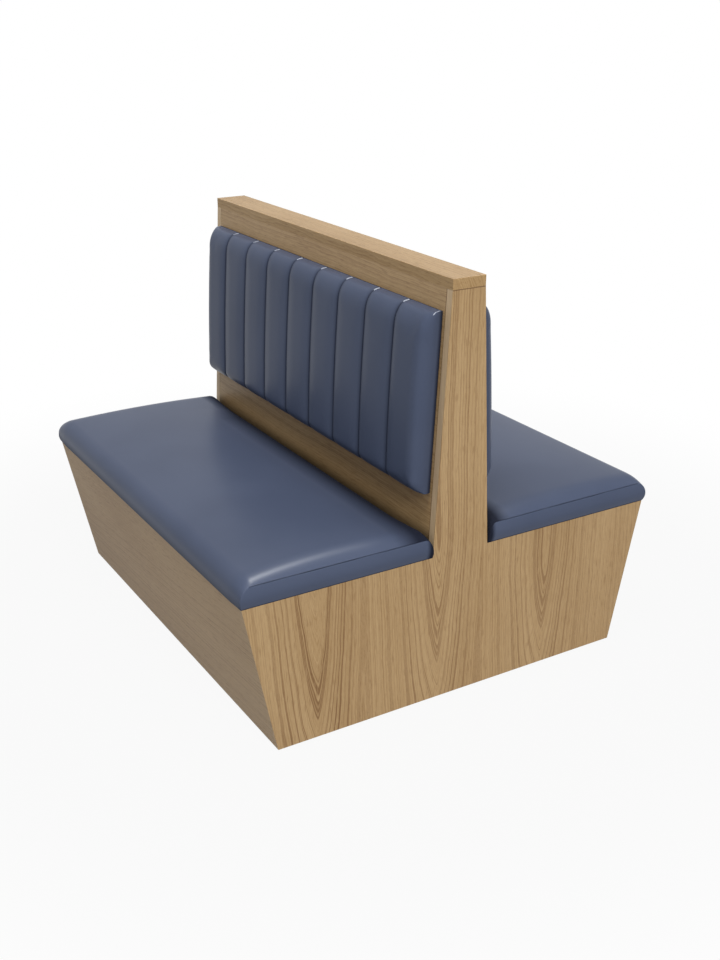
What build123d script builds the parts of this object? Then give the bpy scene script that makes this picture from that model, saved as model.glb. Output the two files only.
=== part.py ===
from build123d import *
from math import hypot, sqrt
import os

os.makedirs("parts", exist_ok=True)

# Back-to-back booth bench: two seats on one upright back.
# X runs along the bench, Y from the front seat (-Y) to the rear seat (+Y), Z up from the floor.
# The origin is on the floor at the middle of the bench. All lengths are in millimetres.

# Overall sizes, measured over the outer faces
bench_length = 1200.0
seat_base_height = 388.0      # floor to the underside of the seat cushions
back_height = 1020.0          # floor to the underside of the cap
floor_half_depth = 496.0      # the sloping base panels meet the floor here
seat_half_depth = 575.0       # and reach this far out under the cushions
upright_low_half = 79.0       # half thickness of the upright at the cushions
upright_top_half = 44.0       # and under the cap

# Boards
panel_thickness = 22.0        # end panels and base panels
back_board_thickness = 18.0
cap_thickness = 25.0
rib_thickness = 18.0

# Timber frame inside
rail_height = 60.0
rail_thickness = 22.0
cleat_thickness = 20.0
cleat_height = 40.0
batten_width = 40.0
batten_height = 30.0
stud_width = 30.0
top_rail_height = 45.0
block_leg = 45.0
block_low = 60.0
block_high = 300.0

# Glides nailed under the battens
glide_height = 3.0
glide_radius = 13.0
glide_chamfer = 0.8
glide_nail_radius = 1.25
glide_nail_length = 14.0
glide_inset = 58.0            # from the outer face of the end panel

# Seat cushions
seat_overhang = 7.0           # the nose stands this far past the base panel
seat_rise = 69.0              # height of the edge roll above the base
seat_crown = 16.0             # and of the crown above that
seat_nose = 41.0
seat_back_roll = 45.0
seat_end_roll = 60.0
seat_board_thickness = 12.0
seat_back_gap = 0.5

# Back cushions, measured along and out from the sloping back board
back_pad_length = 1140.0
back_pad_start = 152.0        # up the slope from the height of the seat base
back_pad_top_gap = 53.0       # down the slope from the cap
back_pad_depth = 42.0         # at the seams, before the crown
back_pad_crown = 5.0
back_pad_gap = 1.0
channel_count = 9
channel_swell = 7.5
channel_backing = 6.5         # sewn layer left at the bottom of each seam
back_foam_inset = 2.5         # from the cushion's edges
back_edge_roll = 50.0
back_end_roll = 18.0
back_ply_thickness = 12.0
back_lift = 25.0

cover_thickness = 1.5
cover_hem = 25.0              # the cover turns this far under the cushion's board

# Hook bars: a wall bar on the back board and a pad bar hanging on it
bar_sheet = 2.0
bar_length = 900.0
bar_flange = 25.0
bar_lip = 12.0
bar_play = 0.25               # each side of the lip in its slot
bar_rest_gap = 0.2            # kept where the pad bar sits on the wall bar
upper_bar_drop = 105.0        # from the top of the back cushion to the foot of the wall bar
lower_bar_rise = 60.0         # from its bottom edge to the foot of the lower wall bar
recess_room = 5.0

# Locating battens under each seat cushion
locator_width = 28.0
locator_height = 18.0
locator_clearance = 3.0

# Fasteners
screw_radius = 2.0
screw_head_radius = 4.0
screw_head_height = 1.8
screw_fit = 0.05
cleat_screw_bite = 14.0
bar_screw_bite = 9.0
cap_screw_bite = 18.0
locator_screw_bite = 9.0
dowel_radius = 4.0
dowel_length = 35.0

# One overrun serves every cut
overrun = 10.0

# Shares, chosen by hand, of the sizes that they follow
half_turn_share = 1 - sqrt(0.5)
seat_end_inset_shares = (0, 0.07, 0.2, 0.5, 1)
seat_end_rise_shares = (0.55, 0.71, 0.83, 0.93, 1)
seat_end_overhang_shares = (0, 0.3, 0.6, 0.9, 1)
seat_end_crown_shares = (0.15, 0.2, 0.3, 0.4, 0.55)
seat_crown_place_share = 0.25
seat_crown_there_share = 0.85
seat_side_share = 0.41
seat_foot_share = 0.3
seat_side_bow_share = 0.65
seat_back_edge_share = 0.68
seat_back_roll_share = 0.97
back_edge_inset_shares = (0, 0.04, 0.12, 0.28, 0.56, 1)
back_edge_depth_shares = (0.36, 0.5, 0.67, 0.84, 0.95, 1)
back_edge_swell_shares = (0.1, 0.25, 0.45, 0.7, 0.9, 1)
back_crown_place_shares = (0.3, 0.5, 0.7)
back_side_share = 0.36
end_channel_share = 0.95
cleat_screw_shares = (0.15, 0.5, 0.85)
floor_screw_shares = (-0.8, -0.3, 0.3, 0.8)
bar_screw_shares = (-0.9, -0.45, 0, 0.45, 0.9)
cap_screw_shares = (0.2, 0.8)
locator_screw_shares = (0.15, 0.85)
dowel_place_share = 0.5

# Worked out from the sizes above
half_length = bench_length / 2
half_inside = half_length - panel_thickness
flare = (seat_half_depth - floor_half_depth) / seat_base_height
lean = (upright_low_half - upright_top_half) / (back_height - seat_base_height)
slope = hypot(1, lean)
back_pad_end = (back_height - seat_base_height) * slope - back_pad_top_gap
back_pad_height = back_pad_end - back_pad_start
panel_depth = panel_thickness * hypot(1, flare)
back_board_depth = back_board_thickness * slope
board_low = glide_height
rail_low = seat_base_height - rail_height
batten_top = board_low + batten_height


def base_face(z):
    """Outer face of the base panel: how far it stands from the middle at height z."""
    return floor_half_depth + flare * z


def base_inner(z):
    """Inner face of the base panel at height z."""
    return base_face(z) - panel_depth


def back_face(z):
    """Outer face of the back board at height z."""
    return upright_low_half - lean * (z - seat_base_height)


def cavity_half(z):
    """Half the gap between the two back boards at height z."""
    return back_face(z) - back_board_depth


def on_back(up, out):
    """The (y, z) of a point up the front back board's slope and out from its face."""
    y = -upright_low_half + (lean * up - out) / slope
    z = seat_base_height + (up + lean * out) / slope
    return y, z


def board_x(outline, x_low, x_high):
    """A board between two places on X, with an outline of (y, z) points."""
    edge = Polyline(*[(x_low, y, z) for y, z in outline], close=True)
    return extrude(make_face(edge), amount=x_high - x_low, dir=(1, 0, 0))


def slab(points_a, points_b):
    """A solid between two flat outlines that have the same number of corners."""
    faces = [make_face(Polyline(*points, close=True)) for points in (points_a, points_b)]
    return loft(faces, ruled=True)


def peg(radius, length, point, direction):
    """A round peg that starts at a point and runs along a direction."""
    return Plane(origin=point, z_dir=direction) * extrude(Circle(radius), amount=length)


def screw(point, direction, length):
    """A washer-head screw: its head stands on the surface at point, its shank runs along direction."""
    backwards = tuple(-part for part in direction)
    head = peg(screw_head_radius, screw_head_height, point, backwards)
    return head + peg(screw_radius, length, point, direction)


def screw_hole(point, direction, length):
    """The hole that a screw's shank sits in."""
    return peg(screw_radius + screw_fit, length, point, direction)


def group(solids):
    """Separate solids that share one node."""
    return Compound(children=[solid for item in solids for solid in item.solids()])


def front_to_rear(piece):
    """The same piece on the rear side."""
    return mirror(piece, about=Plane.XZ)


def right_to_left(piece):
    """The same piece at the other end."""
    return mirror(piece, about=Plane.YZ)


# Boards that show

def end_panel():
    """The right end panel: an upside-down T, mitred where it meets the base panels."""
    def outline(x, base):
        return [
            (x, -base(board_low), board_low), (x, base(board_low), board_low),
            (x, base(seat_base_height), seat_base_height), (x, upright_low_half, seat_base_height),
            (x, upright_top_half, back_height), (x, -upright_top_half, back_height),
            (x, -upright_low_half, seat_base_height), (x, -base(seat_base_height), seat_base_height),
        ]
    return slab(outline(half_length, base_face), outline(half_inside, base_inner))


def base_panel():
    """The front base panel, mitred at both ends."""
    def outline(x, base):
        low, high = -base(board_low), -base(seat_base_height)
        return [
            (-x, low, board_low), (x, low, board_low),
            (x, high, seat_base_height), (-x, high, seat_base_height),
        ]
    return slab(outline(half_length, base_face), outline(half_inside, base_inner))


def back_panel():
    """The front back board, let in between the end panels."""
    outline = [
        (-back_face(rail_low), rail_low), (-back_face(back_height), back_height),
        (-cavity_half(back_height), back_height), (-cavity_half(rail_low), rail_low),
    ]
    return board_x(outline, -half_inside, half_inside)


def top_cap():
    """The cap board, flush with the end panels and the back boards."""
    high = back_height + cap_thickness
    outline = [
        (-upright_top_half, back_height), (upright_top_half, back_height),
        (upright_top_half, high), (-upright_top_half, high),
    ]
    return board_x(outline, -half_length, half_length)


# Frame inside

outer_rail_back = base_inner(rail_low) - rail_thickness
inner_rail_front = back_face(rail_low) + rail_thickness
batten_back = base_inner(board_low) - batten_width


def outer_rail():
    """Seat rail along the top of the front base panel."""
    outline = [
        (-base_inner(rail_low), rail_low), (-base_inner(seat_base_height), seat_base_height),
        (-outer_rail_back, seat_base_height), (-outer_rail_back, rail_low),
    ]
    return board_x(outline, -half_inside, half_inside)


def inner_rail():
    """Seat rail along the foot of the front back board."""
    outline = [
        (-back_face(rail_low), rail_low), (-back_face(seat_base_height), seat_base_height),
        (-inner_rail_front, seat_base_height), (-inner_rail_front, rail_low),
    ]
    return board_x(outline, -half_inside, half_inside)


def floor_batten():
    """Batten along the foot of the front base panel; the glides are nailed into it."""
    outline = [
        (-base_inner(board_low), board_low), (-base_inner(batten_top), batten_top),
        (-batten_back, batten_top), (-batten_back, board_low),
    ]
    return board_x(outline, -half_inside, half_inside)


def centre_rib():
    """Front half of the middle rib, notched round the rails and the floor batten."""
    outline = [
        (-batten_back, board_low), (-batten_back, batten_top),
        (-base_inner(batten_top), batten_top), (-base_inner(rail_low), rail_low),
        (-outer_rail_back, rail_low), (-outer_rail_back, seat_base_height),
        (-inner_rail_front, seat_base_height), (-inner_rail_front, rail_low),
        (0, rail_low), (0, board_low),
    ]
    return board_x(outline, -rib_thickness / 2, rib_thickness / 2)


def filler(low, high, x_low, x_high):
    """A timber that fills the gap between the back boards between two heights."""
    outline = [
        (-cavity_half(low), low), (cavity_half(low), low),
        (cavity_half(high), high), (-cavity_half(high), high),
    ]
    return board_x(outline, x_low, x_high)


def seat_cleat():
    """Cleat on the right end panel between the front seat rails."""
    low = seat_base_height - cleat_height
    outline = [
        (-outer_rail_back, low), (-outer_rail_back, seat_base_height),
        (-inner_rail_front, seat_base_height), (-inner_rail_front, low),
    ]
    return board_x(outline, half_inside - cleat_thickness, half_inside)


def floor_cleat():
    """Cleat along the foot of the right end panel, between the floor battens."""
    outline = [
        (-batten_back, board_low), (batten_back, board_low),
        (batten_back, batten_top), (-batten_back, batten_top),
    ]
    return board_x(outline, half_inside - cleat_thickness, half_inside)


def corner_block():
    """Three-cornered block behind the right front mitre."""
    def corner(z):
        y = -base_inner(z)
        return [(half_inside, y, z), (half_inside - block_leg, y, z), (half_inside, y + block_leg, z)]
    return slab(corner(block_low), corner(block_high))


# Glides

glide_places = [
    (x, y)
    for y in (-batten_back - batten_width / 2, batten_back + batten_width / 2)
    for x in (-half_length + glide_inset, 0, half_length - glide_inset)
] + [(-half_inside + cleat_thickness / 2, 0), (half_inside - cleat_thickness / 2, 0)]


def glide(x, y):
    """A round glide with the nail moulded into it."""
    disc = peg(glide_radius, glide_height, (x, y, 0), (0, 0, 1))
    disc = chamfer(disc.edges().sort_by(Axis.Z)[0], glide_chamfer)
    return disc + peg(glide_nail_radius, glide_nail_length, (x, y, glide_height), (0, 0, 1))


def glide_holes():
    """The nail holes in the battens and the cleats."""
    radius = glide_nail_radius + screw_fit
    return [peg(radius, glide_nail_length, (x, y, glide_height), (0, 0, 1)) for x, y in glide_places]


# Screws and dowels of the frame

def seat_cleat_screws(make):
    """Screws, or their holes, through the right front seat cleat into the end panel."""
    x = half_inside - cleat_thickness
    z = seat_base_height - cleat_height / 2
    run = outer_rail_back - inner_rail_front
    places = [(x, -outer_rail_back + run * share, z) for share in cleat_screw_shares]
    return [make(place, (1, 0, 0), cleat_thickness + cleat_screw_bite) for place in places]


def floor_cleat_screws(make):
    """Screws, or their holes, through the right floor cleat into the end panel."""
    x = half_inside - cleat_thickness
    z = board_low + batten_height / 2
    places = [(x, batten_back * share, z) for share in floor_screw_shares]
    return [make(place, (1, 0, 0), cleat_thickness + cleat_screw_bite) for place in places]


def cap_screws(make):
    """Screws, or their holes, up through the right top rail into the cap."""
    x_low, x_high = stud_width / 2, half_inside - stud_width
    z = back_height - top_rail_height
    places = [(x_low + (x_high - x_low) * share, 0, z) for share in cap_screw_shares]
    return [make(place, (0, 0, 1), top_rail_height + cap_screw_bite) for place in places]


def cap_dowels(radius):
    """Dowels between the right end panel and the cap."""
    x = half_length - panel_thickness / 2
    z = back_height - dowel_length / 2
    y = upright_top_half * dowel_place_share
    return [peg(radius, dowel_length, (x, place, z), (0, 0, 1)) for place in (-y, y)]


# Hook bars, drawn for the front back board

bar_slot = bar_sheet + 2 * bar_play
bar_depth = bar_slot + bar_sheet
bar_rest = bar_flange + bar_lip
pad_bar_out = bar_play + bar_depth
bar_feet = {
    "upper": back_pad_end - upper_bar_drop,
    "lower": back_pad_start + lower_bar_rise,
}


def wall_bar(foot):
    """The bar on the back board: a flange on the board and a lip standing up off it."""
    bend = bar_flange - bar_sheet
    outline = [
        (0, 0), (0, bar_sheet), (bend, bar_sheet), (bend, bar_depth),
        (bar_rest, bar_depth), (bar_rest, bar_slot), (bar_flange, bar_slot), (bar_flange, 0),
    ]
    points = [on_back(foot + up, out) for up, out in outline]
    return board_x(points, -bar_length / 2, bar_length / 2)


def pad_bar(foot):
    """The bar on the cushion: a lip hanging in the wall bar's slot and a flange on the plywood."""
    rest = bar_rest + bar_rest_gap
    tip = bar_flange + bar_rest_gap
    top = rest + bar_flange
    back = pad_bar_out - bar_sheet
    outline = [
        (tip, bar_play), (tip, bar_play + bar_sheet), (rest, bar_play + bar_sheet), (rest, pad_bar_out),
        (top, pad_bar_out), (top, back), (rest + bar_sheet, back), (rest + bar_sheet, bar_play),
    ]
    points = [on_back(foot + up, out) for up, out in outline]
    return board_x(points, -bar_length / 2, bar_length / 2)


def slope_screws(make, up, out, direction, length):
    """Screws, or their holes, in a row along X at one place on the slope."""
    y, z = on_back(up, out)
    places = [(bar_length / 2 * share, y, z) for share in bar_screw_shares]
    return [make(place, direction, length) for place in places]


inwards = (0, 1 / slope, -lean / slope)
outwards = (0, -1 / slope, lean / slope)


def wall_bar_screws(make, foot):
    """Screws through a wall bar's flange into the back board."""
    up = foot + (bar_flange - bar_sheet) / 2
    return slope_screws(make, up, bar_sheet, inwards, bar_sheet + bar_screw_bite)


def pad_bar_screws(make, foot):
    """Screws through a pad bar's flange into the cushion's plywood."""
    up = foot + bar_rest + bar_rest_gap + (bar_flange + bar_sheet) / 2
    return slope_screws(make, up, pad_bar_out - bar_sheet, outwards, bar_sheet + bar_screw_bite)


# Seat cushion, drawn for the front seat

seat_back_y = upright_low_half + seat_back_gap


def seat_section(x, rise, overhang, crown, skin):
    """The cushion's outline across the seat at one place on X, skin inside its outer face."""
    base = seat_base_height + skin
    edge = base + rise - 2 * skin
    front = seat_half_depth + overhang - skin
    foot = front - overhang * (1 - seat_foot_share)
    back = seat_back_y + skin
    nose = seat_nose * rise / seat_rise
    roll = seat_back_roll
    side_z = base + (edge - base) * seat_side_share
    back_z = base + (edge - base) * seat_back_edge_share
    roll_z = base + (edge - base) * seat_back_roll_share
    bow = front * seat_side_bow_share + foot * (1 - seat_side_bow_share)
    crown_y = (front - nose + back + roll) / 2
    turn = half_turn_share
    a, b = (x, -back, base), (x, -foot, base)
    c, d = (x, -front, side_z), (x, -(front - nose), edge)
    e, f = (x, -(back + roll), roll_z), (x, -back, back_z)
    edges = [
        Line(a, b),
        ThreePointArc(b, (x, -bow, (base + side_z) / 2), c) if overhang else Line(b, c),
        ThreePointArc(c, (x, -(front - nose * turn), edge - (edge - side_z) * turn), d),
        ThreePointArc(d, (x, -crown_y, edge + crown), e),
        ThreePointArc(e, (x, -(back + roll * turn), roll_z - (roll_z - back_z) * turn), f),
        Line(f, a),
    ]
    return make_face(Wire(edges))


def seat_form(skin):
    """The whole cushion, or what lies skin inside its outer face."""
    ends = zip(seat_end_inset_shares, seat_end_rise_shares, seat_end_overhang_shares, seat_end_crown_shares)
    end = half_length - skin
    sections = [
        (end - seat_end_roll * inset, seat_rise * rise, seat_overhang * overhang, seat_crown * crown)
        for inset, rise, overhang, crown in ends
    ]
    shoulder = (half_length - seat_end_roll) * (1 - seat_crown_place_share)
    sections.append((shoulder, seat_rise, seat_overhang, seat_crown * seat_crown_there_share))
    middle = [(0, seat_rise, seat_overhang, seat_crown)]
    other_end = [(-x, rise, overhang, crown) for x, rise, overhang, crown in reversed(sections)]
    faces = [seat_section(*section, skin) for section in sections + middle + other_end]
    return loft(faces, ruled=True)


seat_board_top = seat_base_height + cover_thickness + seat_board_thickness


def seat_block(low, high):
    """A block wider and deeper than the cushion between two heights."""
    depth = seat_half_depth + seat_overhang + overrun
    outline = [(-depth, low), (0, low), (0, high), (-depth, high)]
    return board_x(outline, -half_length - overrun, half_length + overrun)


def seat_hem_opening():
    """The opening that the cover leaves under the board."""
    low, high = seat_base_height - overrun, seat_base_height + cover_thickness
    front, back = seat_half_depth - cover_hem, seat_back_y + cover_hem
    outline = [(-front, low), (-back, low), (-back, high), (-front, high)]
    return board_x(outline, -half_length + cover_hem, half_length - cover_hem)


def seat_locator():
    """Right locating batten of the front seat cushion, just inside the rails and the cleat."""
    high = seat_base_height + cover_thickness
    low = high - locator_height - cover_thickness
    front = outer_rail_back - locator_clearance
    back = inner_rail_front + locator_clearance
    x_high = half_inside - cleat_thickness - locator_clearance
    outline = [(-front, low), (-back, low), (-back, high), (-front, high)]
    return board_x(outline, x_high - locator_width, x_high)


def locator_screws(make):
    """Screws, or their holes, up through the right locating batten into the board."""
    run = outer_rail_back - inner_rail_front
    x = half_inside - cleat_thickness - locator_clearance - locator_width / 2
    z = seat_base_height - locator_height
    length = locator_height + cover_thickness + locator_screw_bite
    places = [(x, -outer_rail_back + run * share, z) for share in locator_screw_shares]
    return [make(place, (0, 0, 1), length) for place in places]


# Back cushion, drawn for the front side

half_pad = back_pad_length / 2
ply_front = back_pad_gap + cover_thickness + back_ply_thickness


def back_outline(up, half, back, depth, side, roll, swell):
    """The back cushion's outline at one place up the slope; with no swell its front is flat."""
    def at(x, out):
        return (x, *on_back(up, out))
    top = depth + swell
    turn_x, turn_out = half - roll * half_turn_share, top - (top - side) * half_turn_share
    right = [at(half, side), at(turn_x, turn_out), at(half - roll, top)]
    left = [at(-half + roll, top), at(-turn_x, turn_out), at(-half, side)]
    edges = [Line(at(-half, back), at(half, back)), Line(at(half, back), right[0]), ThreePointArc(*right)]
    if swell:
        pitch = 2 * half_pad / channel_count
        seams = [half_pad - pitch * count for count in range(1, channel_count)]
        stops = [(half - roll, top)] + [(seam, depth) for seam in seams] + [(-half + roll, top)]
        for start, stop in zip(stops, stops[1:]):
            full = swell if start[1] == stop[1] else swell * end_channel_share
            middle = at((start[0] + stop[0]) / 2, depth + full)
            edges.append(ThreePointArc(at(*start), middle, at(*stop)))
    else:
        edges.append(Line(right[2], left[0]))
    edges += [ThreePointArc(*left), Line(left[2], at(-half, back))]
    return make_face(Wire(edges))


def back_form(inset, backing, swell):
    """The back cushion lofted up its slope, inset from its edges and backing below its seams."""
    table = list(zip(back_edge_inset_shares, back_edge_depth_shares, back_edge_swell_shares))
    sections = [
        (inset + back_edge_roll * place, back_pad_depth * share, share, swell * swell_share)
        for place, share, swell_share in table
    ]
    places = [(back_pad_start + up, *rest) for up, *rest in sections]
    for share in back_crown_place_shares:
        depth = back_pad_depth + back_pad_crown
        places.append((back_pad_start + back_pad_height * share, depth, 1, swell))
    places += [(back_pad_end - up, *rest) for up, *rest in reversed(sections)]
    faces = []
    for up, depth, share, bulge in places:
        front = back_pad_gap + depth - backing
        side = back_pad_gap + back_pad_depth * back_side_share * share
        roll = back_end_roll * share
        faces.append(back_outline(up, half_pad - inset, back_pad_gap, front, side, roll, bulge))
    return loft(faces, ruled=True)


def slope_block(low, high, back, front, half):
    """A block on the slope, between two places up it and two places out from it."""
    corners = [(low, back), (low, front), (high, front), (high, back)]
    return board_x([on_back(up, out) for up, out in corners], -half, half)


def back_ply():
    """The back cushion's plywood with its two routed recesses for the hook bars."""
    low, high = back_pad_start + cover_thickness, back_pad_end - cover_thickness
    ply = slope_block(low, high, back_pad_gap + cover_thickness, ply_front, half_pad - cover_thickness)
    for foot in bar_feet.values():
        low = foot - back_lift - recess_room
        high = foot + bar_rest + bar_rest_gap + bar_flange + recess_room
        ply -= slope_block(low, high, 0, pad_bar_out, bar_length / 2 + recess_room)
    return ply


def back_hem_opening():
    """The opening that the cover leaves behind the plywood."""
    low, high = back_pad_start + cover_hem, back_pad_end - cover_hem
    return slope_block(low, high, 0, back_pad_gap + cover_thickness, half_pad - cover_hem)


# Make every piece

parts = {}


def both_sides(name, piece):
    """Keep a front piece and its rear twin."""
    parts[f"{name}_front"] = piece
    parts[f"{name}_rear"] = front_to_rear(piece)


def both_ends(name, piece):
    """Keep a right piece and its left twin."""
    parts[f"{name}_right"] = piece
    parts[f"{name}_left"] = right_to_left(piece)


def four_ways(pieces):
    """Right front pieces with their twins at all four corners."""
    front = pieces + [right_to_left(piece) for piece in pieces]
    return front + [front_to_rear(piece) for piece in front]


def two_ways(pieces):
    """Right pieces with their left twins."""
    return pieces + [right_to_left(piece) for piece in pieces]


seat_cleat_holes = seat_cleat_screws(screw_hole)
floor_cleat_holes = floor_cleat_screws(screw_hole)
cap_holes = cap_screws(screw_hole)
dowel_holes = cap_dowels(dowel_radius + screw_fit)
nail_holes = glide_holes()

both_ends("end_panel", end_panel() - seat_cleat_holes - [front_to_rear(hole) for hole in seat_cleat_holes]
          - floor_cleat_holes - dowel_holes)
both_sides("base_panel", base_panel())

bar_holes = [hole for foot in bar_feet.values() for hole in wall_bar_screws(screw_hole, foot)]
both_sides("back_panel", back_panel() - bar_holes)
parts["top_cap"] = top_cap() - two_ways(cap_holes) - two_ways(dowel_holes)

both_sides("seat_rail_outer", outer_rail())
both_sides("seat_rail_inner", inner_rail())
both_sides("floor_batten", floor_batten() - nail_holes)
both_sides("centre_rib", centre_rib())
both_ends("floor_cleat", floor_cleat() - floor_cleat_holes - nail_holes)

cleat = seat_cleat() - seat_cleat_holes
both_sides("seat_cleat_right", cleat)
both_sides("seat_cleat_left", right_to_left(cleat))

between = (stud_width / 2, half_inside - stud_width)
both_ends("back_stud", filler(rail_low, back_height, half_inside - stud_width, half_inside))
parts["back_stud_centre"] = filler(rail_low, back_height, -stud_width / 2, stud_width / 2)
both_ends("back_top_rail", filler(back_height - top_rail_height, back_height, *between) - cap_holes)
both_ends("back_bottom_rail", filler(rail_low, seat_base_height, *between))
parts["corner_blocks"] = group(four_ways([corner_block()]))
parts["glides"] = group([glide(x, y) for x, y in glide_places])
parts["cleat_screws"] = group(
    four_ways(seat_cleat_screws(screw)) + two_ways(floor_cleat_screws(screw)))
parts["cap_screws"] = group(two_ways(cap_screws(screw)))
parts["cap_dowels"] = group(two_ways(cap_dowels(dowel_radius)))

wall_screws = []
pad_screws = []
pad_screw_holes = []
for level, foot in bar_feet.items():
    both_sides(f"wall_bar_{level}", wall_bar(foot) - wall_bar_screws(screw_hole, foot))
    both_sides(f"pad_bar_{level}", pad_bar(foot) - pad_bar_screws(screw_hole, foot))
    wall_screws += wall_bar_screws(screw, foot)
    pad_screws += pad_bar_screws(screw, foot)
    pad_screw_holes += pad_bar_screws(screw_hole, foot)
parts["wall_bar_screws"] = group(wall_screws + [front_to_rear(item) for item in wall_screws])
both_sides("pad_bar_screws", group(pad_screws))

inner_seat = seat_form(cover_thickness)
locator_holes = two_ways(locator_screws(screw_hole))
seat_board = inner_seat - seat_block(seat_board_top, seat_base_height + 2 * seat_rise)
both_sides("seat_cover", seat_form(0) - inner_seat - seat_hem_opening())
both_sides("seat_foam", inner_seat - seat_block(seat_base_height - overrun, seat_board_top))
both_sides("seat_board", seat_board - locator_holes)
both_sides("seat_locators", group([piece - locator_holes for piece in two_ways([seat_locator()])]))
both_sides("locator_screws", group(two_ways(locator_screws(screw))))

ply = back_ply()
behind_foam = slope_block(back_pad_start - overrun, back_pad_end + overrun, 0, ply_front, half_pad + overrun)
back_foam = back_form(back_foam_inset, channel_backing, 0) - behind_foam
ply_room = slope_block(back_pad_start + cover_thickness, back_pad_end - cover_thickness,
                       back_pad_gap + cover_thickness, ply_front, half_pad - cover_thickness)
both_sides("back_cover", back_form(0, 0, channel_swell) - back_foam - ply_room - back_hem_opening())
both_sides("back_foam", back_foam)
both_sides("back_ply", ply - pad_screw_holes)

for name, piece in parts.items():
    piece.label = name
    export_step(piece, f"parts/{name}.step")
print(len(parts), "nodes")
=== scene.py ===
import math

import bpy
import numpy as np
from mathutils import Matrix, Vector


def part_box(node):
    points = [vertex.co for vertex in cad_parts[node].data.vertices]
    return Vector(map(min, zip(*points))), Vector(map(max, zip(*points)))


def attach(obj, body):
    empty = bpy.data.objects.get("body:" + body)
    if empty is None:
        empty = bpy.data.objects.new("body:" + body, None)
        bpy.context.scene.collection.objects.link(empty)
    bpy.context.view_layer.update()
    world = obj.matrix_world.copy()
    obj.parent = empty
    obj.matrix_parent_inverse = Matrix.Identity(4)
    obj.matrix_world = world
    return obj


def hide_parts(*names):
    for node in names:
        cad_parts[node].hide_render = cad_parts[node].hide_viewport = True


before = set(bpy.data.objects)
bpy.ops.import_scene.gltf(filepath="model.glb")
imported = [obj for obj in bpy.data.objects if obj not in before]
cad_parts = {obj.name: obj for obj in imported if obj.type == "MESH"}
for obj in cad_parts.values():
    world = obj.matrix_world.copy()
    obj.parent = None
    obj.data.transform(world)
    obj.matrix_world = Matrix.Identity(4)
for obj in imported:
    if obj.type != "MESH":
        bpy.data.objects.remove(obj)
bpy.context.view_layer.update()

MM = 0.001

# Places read from the frame. X runs along the bench, the front seat is at -Y, Z is up.
end_low, end_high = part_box("end_panel_right")
base_low, base_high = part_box("base_panel_front")
board_low, board_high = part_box("back_panel_front")
cap_low, cap_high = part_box("top_cap")
seat_low, seat_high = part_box("seat_cover_front")
pad_low, pad_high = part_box("back_cover_front")

half_length = end_high.x
inside = end_low.x
seat_base = base_high.z
back_top = cap_low.z
upright_top_half = cap_high.y
lean = (-board_low.y - upright_top_half) / (board_high.z - board_low.z)
slope = math.hypot(1, lean)
upright_half = upright_top_half + lean * (back_top - seat_base)


# Meshes

def only(piece):
    """Deselect everything, then make one piece selected and active."""
    bpy.ops.object.select_all(action="DESELECT")
    piece.select_set(True)
    bpy.context.view_layer.objects.active = piece


def read(items, field, width, kind=float):
    """One field of a mesh's points, edges or faces, as rows of numbers."""
    flat = np.empty(width * len(items), kind)
    items.foreach_get(field, flat)
    return flat.reshape(-1, width)


def points_of(piece):
    return read(piece.data.vertices, "co", 3)


def pairs_of(piece):
    """The two points of each edge."""
    return read(piece.data.edges, "vertices", 2, int)


def put_points(piece, rows):
    piece.data.vertices.foreach_set("co", np.ascontiguousarray(rows).ravel())
    piece.data.update()


def open_with(piece, kind, mask):
    """Enter edit mode with only the masked points, edges or faces selected."""
    only(piece)
    bpy.ops.object.mode_set(mode="EDIT")
    bpy.ops.mesh.select_mode(type=kind)
    bpy.ops.mesh.select_all(action="DESELECT")
    bpy.ops.object.mode_set(mode="OBJECT")
    items = {"VERT": piece.data.vertices, "EDGE": piece.data.edges, "FACE": piece.data.polygons}[kind]
    items.foreach_set("select", np.asarray(mask, bool))
    bpy.ops.object.mode_set(mode="EDIT")


def close_up():
    bpy.ops.object.mode_set(mode="OBJECT")


def apply(piece, kind, **settings):
    """Add a modifier with these settings and apply it."""
    only(piece)
    made = piece.modifiers.new(kind.title(), kind)
    for name, value in settings.items():
        setattr(made, name, value)
    bpy.ops.object.modifier_apply(modifier=made.name)


def keep(piece, name, values):
    """Keep a number for each point, or a row of three, as an attribute."""
    values = np.asarray(values, np.float32)
    wide = values.ndim == 2
    if name in piece.data.attributes:
        piece.data.attributes.remove(piece.data.attributes[name])
    piece.data.attributes.new(name, "FLOAT_VECTOR" if wide else "FLOAT", "POINT")
    piece.data.attributes[name].data.foreach_set("vector" if wide else "value", values.ravel())


def kept(piece, name, width=1):
    """The kept numbers again."""
    field = "value" if width == 1 else "vector"
    rows = read(piece.data.attributes[name].data, field, width)
    return rows[:, 0] if width == 1 else rows


MOST_CUTS = 100               # an edge is cut into more parts than this in two steps


def block(name, cells):
    """A cube from 0 to 1 each way, cut into cells, that keeps each point's place in it."""
    bpy.ops.object.select_all(action="DESELECT")
    bpy.ops.mesh.primitive_cube_add(size=1, location=(0.5, 0.5, 0.5))
    piece = bpy.context.object
    piece.name = name
    bpy.ops.object.transform_apply(location=True, rotation=False, scale=False)
    for axis, count in enumerate(cells):
        for parts in (2, count // 2) if count > MOST_CUTS else (count,):
            rows, pairs = points_of(piece), pairs_of(piece)
            along = abs(rows[pairs[:, 0], axis] - rows[pairs[:, 1], axis]) > 0.001
            open_with(piece, "EDGE", along)
            bpy.ops.mesh.subdivide(number_cuts=parts - 1)
            close_up()
    keep(piece, "place", points_of(piece))
    return piece


# Finishes

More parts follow.
